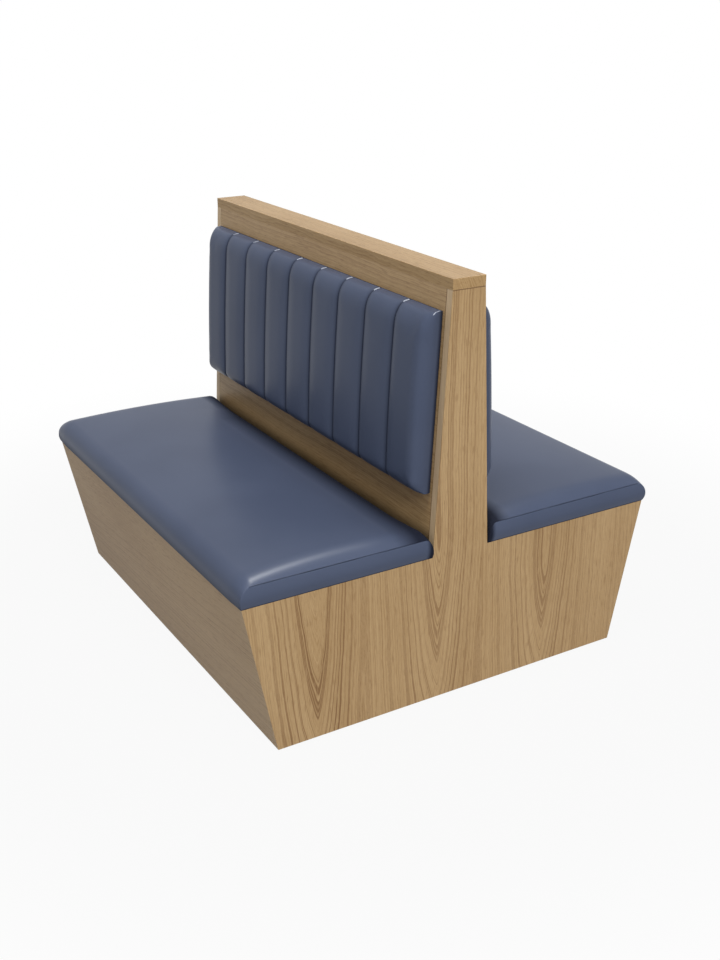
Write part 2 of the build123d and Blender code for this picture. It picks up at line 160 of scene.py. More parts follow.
class Wire:
    """A socket that Python's own operators can be used on. Each adds a Math node."""

    def __init__(self, sheet, socket):
        self.sheet = sheet
        self.socket = socket

    def math(self, operation, *values):
        return self.sheet.node("Math", dict(enumerate(values)), operation=operation)

    def __add__(self, other):
        return self.math("ADD", self, other)

    __radd__ = __add__

    def __sub__(self, other):
        return self.math("SUBTRACT", self, other)

    def __rsub__(self, other):
        return self.math("SUBTRACT", other, self)

    def __mul__(self, other):
        return self.math("MULTIPLY", self, other)

    __rmul__ = __mul__

    def __truediv__(self, other):
        return self.math("DIVIDE", self, other)

    def __rtruediv__(self, other):
        return self.math("DIVIDE", other, self)

    def __pow__(self, other):
        return self.math("POWER", self, other)

    def __abs__(self):
        return self.math("ABSOLUTE", self)

    def ramp(self, low, high):
        """0 below low, 1 above high, smooth between."""
        inputs = {"Value": self, "From Min": low, "From Max": high}
        return self.sheet.node("MapRange", inputs, interpolation_type="SMOOTHSTEP")


class Sheet:
    """A tree of nodes that is filled in from nothing."""

    def __init__(self, owner):
        owner.use_nodes = True
        self.owner = owner
        self.tree = owner.node_tree
        self.tree.nodes.clear()

    def node(self, kind, inputs=None, out=0, **settings):
        """Add a node: its settings are set first, then its sockets' values and links."""
        made = self.tree.nodes.new("ShaderNode" + kind)
        for name, value in settings.items():
            setattr(made, name, value)
        for name, value in (inputs or {}).items():
            socket = made.inputs[name]
            if isinstance(value, Wire):
                self.tree.links.new(value.socket, socket)
            elif socket.type == "RGBA":
                socket.default_value = (*value, 1)
            else:
                socket.default_value = value
        return Wire(self, made.outputs[out]) if made.outputs else None

    def place(self):
        """The object's own coordinates as one wire."""
        return self.node("TexCoord", out="Object")

    def axes(self):
        """The object's own x, y and z."""
        place = self.place()
        return [self.node("SeparateXYZ", {0: place}, out=axis) for axis in "XYZ"]

    def vector(self, x, y, z):
        return self.node("CombineXYZ", {0: x, 1: y, 2: z})

    def noise(self, vector, scale=1.0, detail=2.0, rough=0.5):
        inputs = {"Vector": vector, "Scale": scale, "Detail": detail, "Roughness": rough}
        return self.node("TexNoise", inputs)

    def streaks(self, run, side, through, scales, shift=0.0, detail=2.0, rough=0.5):
        """Noise drawn out along the grain. scales are how fine it is along the grain and across."""
        along, across = scales
        vector = self.vector(run * along + shift, side * across, through * across)
        return self.noise(vector, 1.0, detail, rough)

    def rings(self, value, detail=2.0, rough=0.5):
        """Uneven bands that follow one number."""
        inputs = {"W": value, "Scale": 1.0, "Detail": detail, "Roughness": rough}
        return self.node("TexNoise", inputs, noise_dimensions="1D")

    def blend(self, share, first, second):
        """Mix two colours by a share."""
        return self.node("Mix", {0: share, 6: first, 7: second}, out=2, data_type="RGBA")

    def larger(self, one, other):
        return self.node("Math", {0: one, 1: other}, operation="MAXIMUM")

    def bump(self, height, strength, distance):
        inputs = {"Height": height, "Strength": strength, "Distance": distance}
        return self.node("Bump", inputs)

    def surface(self, **sockets):
        """Join everything to the surface shader. Its socket names have _ for a space here."""
        inputs = {name.replace("_", " "): value for name, value in sockets.items()}
        shader = self.node("BsdfPrincipled", inputs)
        self.node("OutputMaterial", {"Surface": shader})
        return self.owner


def finish(name):
    return Sheet(bpy.data.materials.new(name))


def dress(piece, material):
    """Give the whole piece one finish."""
    piece.data.materials.clear()
    piece.data.materials.append(material)


def tint(red, green, blue):
    """A colour as a screen shows it, from 0 to 255, turned to the shader's scale."""
    shares = [part / 255 for part in (red, green, blue)]
    return tuple(s / 12.92 if s < 0.04045 else ((s + 0.055) / 1.055) ** 2.4 for s in shares)


# Oak. The sizes of a figure are in metres, as the places of its heart lines are.

OAK_LIGHT = tint(190, 159, 116)
OAK_MIDDLE = tint(162, 129, 85)
OAK_DARK = tint(126, 91, 52)
OAK_PORE = tint(96, 67, 38)
# painted shade on the back boards just above the seat cushion
OAK_PAINTED_SHADE = tint(28, 22, 16)
# painted light on the end panels' edges
OAK_EDGE_PAINTED_LIGHT = tint(224, 198, 162)
HEART_DEPTH = 0.0025          # rounds the tips of the arches
ARCH_WIDTH = 0.06             # the arches turn straight about this far from a heart line
ARCH_SLANT = 0.3              # and lie closer on one side of it than on the other by this share
ARCH_FADE = 0.05              # they stop climbing over this much of the board's length
FIGURE_BLEND = 0.03           # two figures run into each other over this width
CLEAR_NEAR = 0.04             # rings show fully this near a heart line
CLEAR_FAR = 0.13              # and no clearer than elsewhere this far from it
HEART_EDGE = 0.004            # the plain heart ends over twice this width
DRIFT_SCALES = (1.6, 5.0)     # slow bends of the grain
DRIFT_REACH = 0.03
WAVER_SCALES = (11.0, 26.0)   # small bends of the grain
WAVER_REACH = 0.007
THROUGH_SLANT = 0.35          # the rings shift sideways by this share of the depth in the board
FIGURED_RINGS = 62.0          # rings in a metre
STRAIGHT_RINGS = 95.0
FINE_RINGS = 330.0
LINE_SHARPNESS = 19.0
FIBRE_SCALES = (30.0, 520.0)
DASH_SCALES = (70.0, 1100.0)
FLECK_SCALES = (24.0, 190.0)
FLECK_RANGE = (0.58, 0.75)
FLECK_SHARE = 0.35
JOINT_LINE = (0.5 * MM, 2.5 * MM)      # the soft side of the dark line at a joint
EDGE_LINE = (1.0 * MM, 2.0 * MM)       # behind the face, where the painted light on the edges starts


def growth(run, side, figures, taper, contrast):
    """One number that grows from ring to ring round the heart lines, and how clearly they show."""
    ring = side
    clear = contrast
    for number, (place, start, end, top, strength) in enumerate(figures):
        gap = side - place
        share = 1 / (1 + (gap / ARCH_WIDTH) ** 2)
        climb = (run.math("SMOOTH_MIN", run, end, ARCH_FADE) - start) * taper * share
        arch = (gap * gap + HEART_DEPTH ** 2) ** 0.5 - climb + gap * ARCH_SLANT
        ring = ring.math("SMOOTH_MIN", ring, arch, FIGURE_BLEND) if number else arch
        near = 1 - abs(gap).ramp(CLEAR_NEAR, CLEAR_FAR)
        tip = (start - top) * taper
        heart = 1 - arch.ramp(tip - HEART_EDGE, tip + HEART_EDGE)
        clear = (clear + near * strength) * (1 - near * heart)
    return ring, clear


def oak(name, along, across, face, figures=(), taper=0.24, tilt=0.01, shift=0.0, contrast=0.5,
        gloss=0.4, climb=0.0, joint=None, painted_shade_below=None, edge=0.0):
    """Lacquered oak. along and across are the axes of its grain, and face is where its outer face
    lies on the third. Each figure is a heart line: its place across the board, where its arches start
    and end along it, how far along their tips are seen before the heart turns plain, and how clearly
    the rings show beside it. The board is painted lighter along the grain by climb, as painted light
    that falls more on one end. It has a dark line at joint, where it ends against another board, and
    painted shade below the heights given for it, behind the seat cushion, where the seat shades it.
    Its edges are painted lighter than its face, as painted light on them, by the share of edge."""
    sheet = finish(name)
    axes = sheet.axes()
    run = axes[along]
    side = axes[across]
    through = abs(axes[3 - along - across]) - face
    drift = sheet.streaks(run, side, through, DRIFT_SCALES, shift) - 0.5
    waver = sheet.streaks(run, side, through, WAVER_SCALES, shift) - 0.5
    side = side + run * tilt + drift * DRIFT_REACH + waver * WAVER_REACH + through * THROUGH_SLANT
    ring, clear = growth(run, side, figures, taper, contrast)
    bands = sheet.rings(ring * (FIGURED_RINGS if figures else STRAIGHT_RINGS) + shift, 1.0)
    fine = sheet.rings(ring * FINE_RINGS + shift, 2.0, 0.6)
    lines = (1 - abs(bands - 0.5) * LINE_SHARPNESS).ramp(0.0, 1.0)
    fibre = sheet.streaks(run, side, through, FIBRE_SCALES, detail=3.0, rough=0.6)
    dashes = sheet.streaks(run, side, through, DASH_SCALES, detail=1.0)
    flecks = sheet.streaks(run, side, through, FLECK_SCALES, detail=1.0)
    pores = dashes.ramp(0.6, 0.72) * (0.35 + lines * 0.65)
    tone = (bands - 0.5) * clear * 0.25 + (fine - 0.5) * 0.45 + (fibre - 0.5) * 0.5 + drift * 0.5
    # painted light: the board gets lighter towards one end along its grain, by climb
    tone = tone + run * climb
    colour = sheet.blend((tone + 0.52).ramp(0.25, 0.75), OAK_MIDDLE, OAK_LIGHT)
    colour = sheet.blend(lines * clear, colour, OAK_DARK)
    colour = sheet.blend(flecks.ramp(*FLECK_RANGE) * FLECK_SHARE, colour, OAK_LIGHT)
    colour = sheet.blend((1 - flecks).ramp(*FLECK_RANGE) * FLECK_SHARE, colour, OAK_DARK)
    colour = sheet.blend(pores * 0.5, colour, OAK_PORE)
    if joint:
        colour = sheet.blend((1 - (joint - abs(run)).ramp(*JOINT_LINE)) * 0.8, colour, OAK_PORE)
    # painted light on the edges, lighter than the face
    if edge:
        colour = sheet.blend((0 - through).ramp(*EDGE_LINE) * edge, colour, OAK_EDGE_PAINTED_LIGHT)
    # painted shade low on the board, behind the seat cushion
    if painted_shade_below:
        colour = sheet.blend((1 - axes[2].ramp(*painted_shade_below)) * 0.9, colour, OAK_PAINTED_SHADE)
    height = fibre * 0.25 - lines * 0.35 - pores * 0.8
    rough = 0.4 + fibre * 0.1 + pores * 0.15
    return sheet.surface(Base_Color=colour, Roughness=rough, Specular_IOR_Level=gloss,
                         Normal=sheet.bump(height, 0.25, 0.3 * MM))


# The other finishes

VINYL_BODY = tint(76, 85, 107)
VINYL_LIGHT = tint(81, 90, 112)
# painted shade and painted highlights on the cover
VINYL_PAINTED_SHADE = tint(18, 20, 32)
VINYL_PAINTED_HIGHLIGHT = tint(196, 202, 216)


def vinyl():
    """Smooth slate-blue upholstery vinyl with a faint pressed grain. It has painted shade where the
    cover's seam attribute says so, in its seam creases, near the boards and on sides that turn away,
    and painted highlights where the attribute for them says so."""
    sheet = finish("slate_blue_vinyl")
    place = sheet.place()
    cloud = sheet.noise(place, 3.0, 3.0)
    cells = {"Vector": place, "Scale": 900.0, "Smoothness": 0.6}
    grain = sheet.node("TexVoronoi", cells, feature="SMOOTH_F1")
    wrinkle = sheet.noise(place, 260.0, 3.0, 0.6)
    # the seam attribute holds the cover's painted shade, seams and all
    seam = sheet.node("Attribute", out="Fac", attribute_name="seam")
    painted_highlight = sheet.node("Attribute", out="Fac", attribute_name="painted_highlight")
    colour = sheet.blend(cloud.ramp(0.35, 0.65), VINYL_BODY, VINYL_LIGHT)
    colour = sheet.blend(seam * 0.9, colour, VINYL_PAINTED_SHADE)
    colour = sheet.blend(painted_highlight.ramp(0.05, 0.55), colour, VINYL_PAINTED_HIGHLIGHT)
    height = grain * 0.6 + wrinkle * 0.5
    rough = 0.29 + cloud * 0.04 + wrinkle * 0.04 + seam * 0.6
    return sheet.surface(Base_Color=colour, Roughness=rough, Specular_IOR_Level=0.09,
                         Normal=sheet.bump(height, 0.1, 0.2 * MM))


def foam():
    sheet = finish("open_cell_foam")
    place = sheet.place()
    cells = sheet.node("TexVoronoi", {"Vector": place, "Scale": 700.0})
    cloud = sheet.noise(place, 6.0, 3.0)
    colour = sheet.blend(cells.ramp(0.0, 0.7), tint(196, 184, 138), tint(232, 222, 184))
    colour = sheet.blend(cloud * 0.3, colour, tint(214, 196, 140))
    return sheet.surface(Base_Color=colour, Roughness=0.95, Specular_IOR_Level=0.2,
                         Normal=sheet.bump(cells, 0.6, 0.6 * MM))


PLY_THICKNESS = 1.5 * MM


def plywood(name, across):
    """Birch plywood, veneer on its faces and thin layers on its edges. across is its thin axis."""
    sheet = finish(name)
    axes = sheet.axes()
    depth = axes[across] + axes[2] * lean if across == 1 else axes[across]
    normal = sheet.node("NewGeometry", out="Normal")
    facing = abs(sheet.node("SeparateXYZ", {0: normal}, out="XYZ"[across])).ramp(0.75, 0.9)
    ply = depth.math("FRACT", depth / PLY_THICKNESS)
    turn = depth.math("FRACT", depth / (2 * PLY_THICKNESS)).ramp(0.45, 0.55)
    glue = (1 - abs(ply - 0.5) * 2).ramp(0.0, 0.2)
    streak = sheet.streaks(*axes, (6.0, 90.0), detail=4.0, rough=0.6)
    spots = sheet.noise(sheet.place(), 900.0)
    edge = sheet.blend(turn, tint(196, 160, 112), tint(226, 200, 156))
    edge = sheet.blend((1 - glue) * 0.7, edge, tint(110, 78, 50))
    edge = sheet.blend(spots.ramp(0.55, 0.7) * 0.3, edge, tint(140, 104, 70))
    veneer = sheet.blend(streak.ramp(0.3, 0.75), tint(228, 204, 164), tint(204, 172, 126))
    colour = sheet.blend(facing, edge, veneer)
    return sheet.surface(Base_Color=colour, Roughness=0.7, Specular_IOR_Level=0.3,
                         Normal=sheet.bump(streak * 0.5 + spots * 0.3, 0.3, 0.4 * MM))


def timber(name, along, dark, light):
    """Planed timber with soft yearly rings round one axis."""
    sheet = finish(name)
    axes = sheet.axes()
    run = axes.pop(along)
    side, through = axes
    bend = sheet.streaks(run, side, through, (2.0, 6.0))
    ring = (side * side + through * through) ** 0.5 + bend * 0.03
    bands = sheet.rings(ring * 260.0, 1.0)
    fibre = sheet.streaks(run, side, through, (12.0, 500.0), detail=3.0)
    colour = sheet.blend(bands.ramp(0.42, 0.62), light, dark)
    colour = sheet.blend(fibre.ramp(0.5, 0.8) * 0.4, colour, tuple(part * 0.7 for part in dark))
    return sheet.surface(Base_Color=colour, Roughness=0.75, Specular_IOR_Level=0.3,
                         Normal=sheet.bump(fibre, 0.3, 0.4 * MM))


def metal(name, shade, along, rough):
    """Drawn or turned metal with fine marks along one axis."""
    sheet = finish(name)
    axes = [axis * (8.0 if number == along else 900.0) for number, axis in enumerate(sheet.axes())]
    marks = sheet.noise(sheet.vector(*axes), 1.0, 3.0)
    cloud = sheet.noise(sheet.place(), 30.0)
    colour = sheet.blend(marks.ramp(0.35, 0.7) * 0.5, shade, tuple(part * 0.7 for part in shade))
    colour = sheet.blend(cloud.ramp(0.55, 0.7) * 0.2, colour, tuple(part * 0.55 for part in shade))
    return sheet.surface(Base_Color=colour, Metallic=1.0, Roughness=rough + marks * 0.15,
                         Normal=sheet.bump(marks, 0.15, 0.1 * MM))


def nylon():
    sheet = finish("glide_nylon")
    place = sheet.place()
    cloud = sheet.noise(place, 120.0, 3.0)
    scuff = sheet.noise(place, 900.0)
    colour = sheet.blend(cloud.ramp(0.3, 0.7), tint(222, 219, 210), tint(206, 202, 190))
    return sheet.surface(Base_Color=colour, Roughness=0.45 + scuff * 0.2, Specular_IOR_Level=0.4,
                         Normal=sheet.bump(scuff, 0.2, 0.2 * MM))


# Boards that show: the frame's own shape with the sharp edges broken

EDGE_BREAK = 0.8 * MM
SHORT_EDGE = 12 * MM
SAME_PLACE = 0.01 * MM        # points of the frame's mesh this near each other are one
FLAT_ANGLE = math.radians(0.5)
SHARP_ANGLE = math.radians(25)


def stays_sharp(node, low, high):
    """The edges between these ends that aren't broken: the mitres, and the cap on a back board."""
    far_out = np.minimum(abs(low[:, 1]), abs(high[:, 1])) > upright_half + SHORT_EDGE
    rises = abs(low[:, 2] - high[:, 2]) > SHORT_EDGE
    at_end = np.minimum(abs(low[:, 0]), abs(high[:, 0])) > inside - EDGE_BREAK
    mitre = far_out & rises & at_end
    level = np.maximum(abs(low[:, 2] - back_top), abs(high[:, 2] - back_top)) < EDGE_BREAK
    flush = level & (abs(low[:, 0] - high[:, 0]) > SHORT_EDGE)
    return mitre | (flush if node.startswith(("top_cap", "back_panel")) else False)


def board(node, material):
    """One oak board in place of the frame's."""
    piece = bpy.data.objects.new(node + "_board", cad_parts[node].data.copy())
    bpy.context.scene.collection.objects.link(piece)
    open_with(piece, "FACE", np.ones(len(piece.data.polygons)))
    bpy.ops.mesh.remove_doubles(threshold=SAME_PLACE)
    bpy.ops.mesh.dissolve_limited(angle_limit=FLAT_ANGLE)
    close_up()
    faces = {}
    for face in piece.data.polygons:
        for key in face.edge_keys:
            faces.setdefault(key, []).append(face.normal)
    rows, pairs = points_of(piece), pairs_of(piece)
    sides = [faces.get(tuple(sorted(pair)), []) for pair in pairs.tolist()]
    turned = [len(found) == 2 and found[0].angle(found[1], 0) > SHARP_ANGLE for found in sides]
    low, high = rows[pairs[:, 0]], rows[pairs[:, 1]]
    long = np.linalg.norm(low - high, axis=1) > SHORT_EDGE
    open_with(piece, "EDGE", np.array(turned) & long & ~stays_sharp(node, low, high))
    bpy.ops.mesh.bevel(offset=EDGE_BREAK, segments=2, affect="EDGES")
    close_up()
    dress(piece, material)
    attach(piece, "frame")
    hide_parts(node)


# Padded pieces

# Each front cushion is made from a block, and the rear one is its copy turned half round

SIM_FRAMES = 20
PRESSURE = 4.0
CLOTH_QUALITY = 5
CLOTH_MASS = 0.3
CLOTH_STIFFNESS = 30
CLOTH_BENDING = 1.0
HELD_WALL = 0.9               # how firmly the sides of a cushion stay where they are
HELD_SEAT = 0.3               # and the seat's top
HELD_BACK = 0.05              # and the faces of the back cushion's channels
HEM = 25 * MM
HEM_POCKET = 12.5 * MM        # where the cover ends under the cushion, its board shows in a pocket
HEM_PAINTED_SHADE = 4 * MM             # the cover has painted shade where it turns under the cushion
SAME_FACE = 0.5 * MM          # faces this near a cushion's back or underside belong to it


def swell(piece, held, cap):
    """Fill a closed cover with air for a moment. held says how firmly each point stays where it is.
    The further a point moves, the more it is held back, so that none moves further than the cap."""
    start = points_of(piece)
    group = piece.vertex_groups.new(name="held")
    levels = held.round(2)
    for level in np.unique(levels[levels > 0]):
        group.add(np.nonzero(levels == level)[0].tolist(), float(level), "REPLACE")
    only(piece)
    cloth = piece.modifiers.new("Cloth", "CLOTH")
    settings = cloth.settings
    settings.quality = CLOTH_QUALITY
    settings.mass = CLOTH_MASS
    settings.tension_stiffness = CLOTH_STIFFNESS
    settings.compression_stiffness = CLOTH_STIFFNESS
    settings.shear_stiffness = CLOTH_STIFFNESS / 3
    settings.bending_stiffness = CLOTH_BENDING
    settings.use_pressure = True
    settings.uniform_pressure_force = PRESSURE
    settings.vertex_group_mass = "held"
    settings.effector_weights.gravity = 0
    cloth.point_cache.frame_start = 1
    cloth.point_cache.frame_end = SIM_FRAMES
    for number in range(1, SIM_FRAMES + 1):
        bpy.context.scene.frame_set(number)
    bpy.ops.object.modifier_apply(modifier="Cloth")
    bpy.context.scene.frame_set(1)
    moved = points_of(piece) - start
    length = np.linalg.norm(moved, axis=1)
    print("swelling of", piece.name, "mm, mean", 1000 * length.mean(), "most", 1000 * length.max())
    reach = cap * np.tanh(length / cap)
    put_points(piece, start + moved * (reach / np.maximum(length, 1e-9))[:, None])
    piece.vertex_groups.clear()


def sew(piece, line, half_width, depth):
    """Draw a seam in. line masks its points, and depth says how far each goes in. The bevel leaves
    three points for each of them, and only the middle one keeps its full share of the line."""
    keep(piece, "line", line)
    keep(piece, "depth", depth)
    pairs = pairs_of(piece)
    open_with(piece, "EDGE", line[pairs[:, 0]] & line[pairs[:, 1]])
    bpy.ops.mesh.bevel(offset=half_width, segments=2, profile=1.0, affect="EDGES")
    close_up()
    drawn = np.where(kept(piece, "line") > 0.95, kept(piece, "depth"), 0)
    normals = read(piece.data.vertices, "normal", 3)
    put_points(piece, points_of(piece) - normals * drawn[:, None])
    return drawn / drawn.max()


def recess(piece, faces, move):
    """Push these faces into the piece."""
    open_with(piece, "FACE", faces)
    bpy.ops.mesh.extrude_region_move(TRANSFORM_OT_translate={"value": move})
    close_up()


def roll(share):
    """A quarter round, which starts upright at 0 and reaches 1 at 1."""
    return np.sqrt(1 - (1 - np.clip(share, 0, 1)) ** 2)


def mix(start, end, share):
    return start + (end - start) * share


def side_lines(length, cells, near):
    """Places of the lattice lines along a side. near gives those at its start, and at its end they
    lie the same way round from there."""
    middle = np.linspace(near[-1], length - near[-1], cells - 2 * len(near) + 3)
    return np.concatenate([near[:-1], middle, length - near[-2::-1]])


def round_lines(width, cells):
    """Places of the lattice lines over a quarter round, which crowd towards its upright start."""
    return width * (1 - np.cos(np.linspace(0, math.pi / 2, cells + 1)))


def first(share):
    """Which points lie at the start of a side of the lattice, by their share of it."""
    return share < 0.001


def last(share):
    return share > 0.999


def outer(share):
    return first(share) | last(share)


def fading(distance, reach):
    """1 at no distance, 0 at the reach and beyond."""
    return np.clip(1 - distance / reach, 0, 1)


def at(share, lines):
    """The places of the lattice lines that these shares of a side fall on."""
    return lines[np.rint(share * (len(lines) - 1)).astype(int)]


def finish_pad(piece, material, body, *nodes):
    """Dress the front piece, make its copy turned half round for the rear, and declare both."""
    for name in ("line", "depth", "place"):
        piece.data.attributes.remove(piece.data.attributes[name])
    dress(piece, material)
    only(piece)
    bpy.ops.object.shade_smooth()
    twin = piece.copy()
    twin.data = piece.data.copy()
    twin.name = piece.name.replace("front", "rear")
    bpy.context.scene.collection.objects.link(twin)
    put_points(twin, points_of(twin) * (-1, -1, 1))
    for made, side in ((piece, "front"), (twin, "rear")):
        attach(made, body + side)
        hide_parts(*[node + side for node in nodes])


# The seat cushion

SEAT_CELLS = (140, 56, 7)
SEAT_END_CELLS = 9
NOSE_CELLS = 9
SEAT_BACK_CELLS = 7
SEAT_RISE = 69 * MM           # height of the edge roll above the base
SEAT_CROWN = 13 * MM          # the middle of the top stands higher by this
CROWN_POWERS = (5, 0.9)       # how late it falls along the bench, and how pointed it is across
CROWN_FALL = 0.5              # the share of the crown that is lost towards the ends
SEAT_NOSE = 41 * MM           # depth of the rounded front edge
SEAT_NOSE_START = 0.41        # the share of the height where its round starts
SEAT_NOSE_BELLY = 1.5 * MM
SEAT_TOP_SHARE = 0.97         # the share of the height where the roll at the back starts
SEAT_FOOT = 4 * MM            # how far the foot of the nose stands past the base panel
SEAT_BULGE = 7 * MM           # the ends stand out past the end panels by this much
SEAT_BELLY = 27 * MM          # at this height above the base
SEAT_SEAM_OUT = 2.5 * MM      # the seam of an end lies this far past the end panel
SEAT_SEAM_RISE = 54 * MM
SEAT_TUCK_POWER = 1.6         # how late an end face turns in below its seam
SEAT_END_ROLL = 52 * MM       # from that seam in to where the top is at its full height
SEAT_END_POWER = 2.6
SEAT_END_FRONT = 0.7          # the share of the front's overhang that is left at the ends
SEAT_END_FOOT = 0.35          # and the share of the foot's
SEAT_END_SPREAD = 12          # a high power keeps the bulge of the ends near them
SEAT_BACK_ROLL = 58 * MM
SEAT_BACK_SHARE = 0.2         # the share of the height where the cushion meets the back board
BACK_ROLL_END = 0.4           # the share of the back roll's width that is left at the ends
BACK_ROLL_REACH = 0.15        # metres from an end to where it has its full width
ROWS_UNDER_TOP = 0.55         # the lower rows lie partly even, and by this share under the top's rows
NOSE_SHADE = 26 * MM          # painted shade darkens the cover softly over this much of the nose, down to its foot
NOSE_DARKNESS = 0.6
BACK_SHADE = 60 * MM          # and painted shade over this much of its top, towards the back board
BACK_DARK = 40 * MM           # and it's fully dark this far from the board
BACK_END_SHARE = 0.2          # on the ends both are narrower
BACK_LEFT_SHARE = 0.65        # and on the top they are narrower towards the left end
BACK_LEFT_REACH = 0.25        # over this many metres
SEAT_SIM_CAP = 0.5 * MM       # the simulation moves no point further than this
SEAT_SEAM = 1.6 * MM
# painted shade in the end seams' creases
SEAT_SEAM_DARKNESS = 0.7
SEAM_START = 0.13             # an end's seam begins at this share of the cushion's depth
SEAM_RISING = 0.05            # and is fully drawn in over this share of it
SEAM_STOP = 0.9               # it ends here
SEAM_FALLING = 0.08           # and runs out over this share before that
SEAM_WAVER = 0.4              # how unevenly it is drawn in

seam_half = half_length + SEAT_SEAM_OUT


def end_out(height):
    """How far past the end panel an end face lies at this height above the base."""
    below = SEAT_BULGE * np.sin(math.pi / 2 * np.clip(height / SEAT_BELLY, 0, 1))
    above = np.clip((height - SEAT_BELLY) / (SEAT_SEAM_RISE - SEAT_BELLY), 0, 1)
    return below - (SEAT_BULGE - SEAT_SEAM_OUT) * above ** SEAT_TUCK_POWER


def seat_form(place, crown):
    """Where each point of the block lies on the front seat cushion."""
    along, depth, up = place.T
    near = round_lines(SEAT_END_ROLL, SEAT_END_CELLS)
    top_x = at(along, side_lines(2 * seam_half, SEAT_CELLS[0], near)) - seam_half
    from_end = seam_half - abs(top_x)
    inset = np.clip(from_end / SEAT_END_ROLL, 0, 1)
    climb = 1 - (1 - inset) ** SEAT_END_POWER
    rise = mix(SEAT_SEAM_RISE, SEAT_RISE, climb)
    front = base_low.y - (base_low.y - seat_low.y) * mix(SEAT_END_FRONT, 1, inset)
    back = seat_high.y
    back_roll = SEAT_BACK_ROLL * mix(BACK_ROLL_END, 1, np.clip(from_end / BACK_ROLL_REACH, 0, 1))
    nose = SEAT_NOSE * rise / SEAT_RISE
    side_z = seat_base + rise * SEAT_NOSE_START
    edge_z = seat_base + rise
    roll_z = seat_base + rise * SEAT_TOP_SHARE
    back_z = seat_base + rise * SEAT_BACK_SHARE

    step = np.rint(depth * SEAT_CELLS[1])
    back_step = SEAT_CELLS[1] - SEAT_BACK_CELLS
    turn = np.clip(step / NOSE_CELLS, 0, 1) * math.pi / 2
    middle = np.clip((step - NOSE_CELLS) / (back_step - NOSE_CELLS), 0, 1)
    fall = np.clip((step - back_step) / SEAT_BACK_CELLS, 0, 1) * math.pi / 2
    hump = crown * (1 - CROWN_FALL * abs(top_x / half_length) ** CROWN_POWERS[0]) * climb
    hump = hump * (4 * middle * (1 - middle)) ** CROWN_POWERS[1]
    top_y = mix(front + nose * (1 - np.cos(turn)), back - back_roll, middle)
    top_y = top_y + back_roll * np.sin(fall)
    top_z = mix(side_z + (edge_z - side_z) * np.sin(turn), roll_z, middle) + hump
    top_z = top_z - (roll_z - back_z) * (1 - np.cos(fall))

    foot = base_low.y - SEAT_FOOT * mix(SEAT_END_FOOT, 1, inset)
    low_y = mix(foot, back, mix(depth, (top_y - front) / (back - front), ROWS_UNDER_TOP))
    bulge = np.where(first(depth), 1 - (1 - up) ** 2, up)
    belly = np.where(first(depth), SEAT_NOSE_BELLY * np.sin(math.pi * up), 0)
    z = mix(seat_base, top_z, up)
    spread = (end_out(z - seat_base) - SEAT_SEAM_OUT) * abs(top_x / seam_half) ** SEAT_END_SPREAD
    x = top_x + np.sign(top_x) * spread
    return np.stack([x, mix(low_y, top_y, bulge) - belly, z], 1)


def seat_shade(piece, drawn):
    """The painted shade on the cover at each point: in its seam creases, where it turns under at its
    hem, over its nose down to its foot, and in the crevice at the back board.
    """
    along, depth = kept(piece, "place", 3).T[:2]
    x, y, z = points_of(piece).T
    foot = z - seat_base
    nose = np.where(first(depth), NOSE_DARKNESS * fading(foot, NOSE_SHADE), 0)
    left = np.clip((x + half_length) / BACK_LEFT_REACH, BACK_LEFT_SHARE, 1)
    width = np.where(np.isin(along.round(3), (0, 1)), BACK_END_SHARE, left)
    behind = ((y - seat_high.y) / width + BACK_DARK) / BACK_SHADE + 1
    shades = [drawn * SEAT_SEAM_DARKNESS, fading(foot, HEM_PAINTED_SHADE), nose, np.clip(behind, 0, 1)]
    return np.max(shades, axis=0)


def seat_cushion(material):
    piece = block("seat_cushion_front", SEAT_CELLS)
    place = kept(piece, "place", 3)
    along, depth, up = place.T
    put_points(piece, seat_form(place, SEAT_CROWN - SEAT_SIM_CAP))
    held = np.where(outer(along) | outer(depth), HELD_WALL, HELD_SEAT)
    held[first(up) | (outer(along) & last(up))] = 1
    swell(piece, held, SEAT_SIM_CAP)
    apply(piece, "SUBSURF", levels=1, render_levels=1)

    along, depth, up = kept(piece, "place", 3).T
    fade = np.clip((depth - SEAM_START) / SEAM_RISING, 0, 1)
    fade = fade * np.clip((SEAM_STOP - depth) / SEAM_FALLING, 0, 1)
    wave = np.sin(27 * depth) * np.sin(11 * depth + 1)
    fade = fade * (1 - SEAM_WAVER + SEAM_WAVER * wave)
    seam = outer(along) & last(up)
    drawn = sew(piece, seam & (fade > 0), SEAT_SEAM, SEAT_SEAM * fade)
    # the seam attribute carries all the painted shade on the seat cover
    keep(piece, "seam", seat_shade(piece, drawn))

    middle = read(piece.data.polygons, "center", 3)
    under = middle[:, 2] < seat_base + SAME_FACE
    under &= abs(middle[:, 0]) < half_length - HEM
    under &= (middle[:, 1] > base_low.y + HEM) & (middle[:, 1] < seat_high.y - HEM)
    recess(piece, under, (0, 0, HEM_POCKET))
    finish_pad(piece, material, "seat_pad_", "seat_cover_", "seat_foam_")


# The back cushion

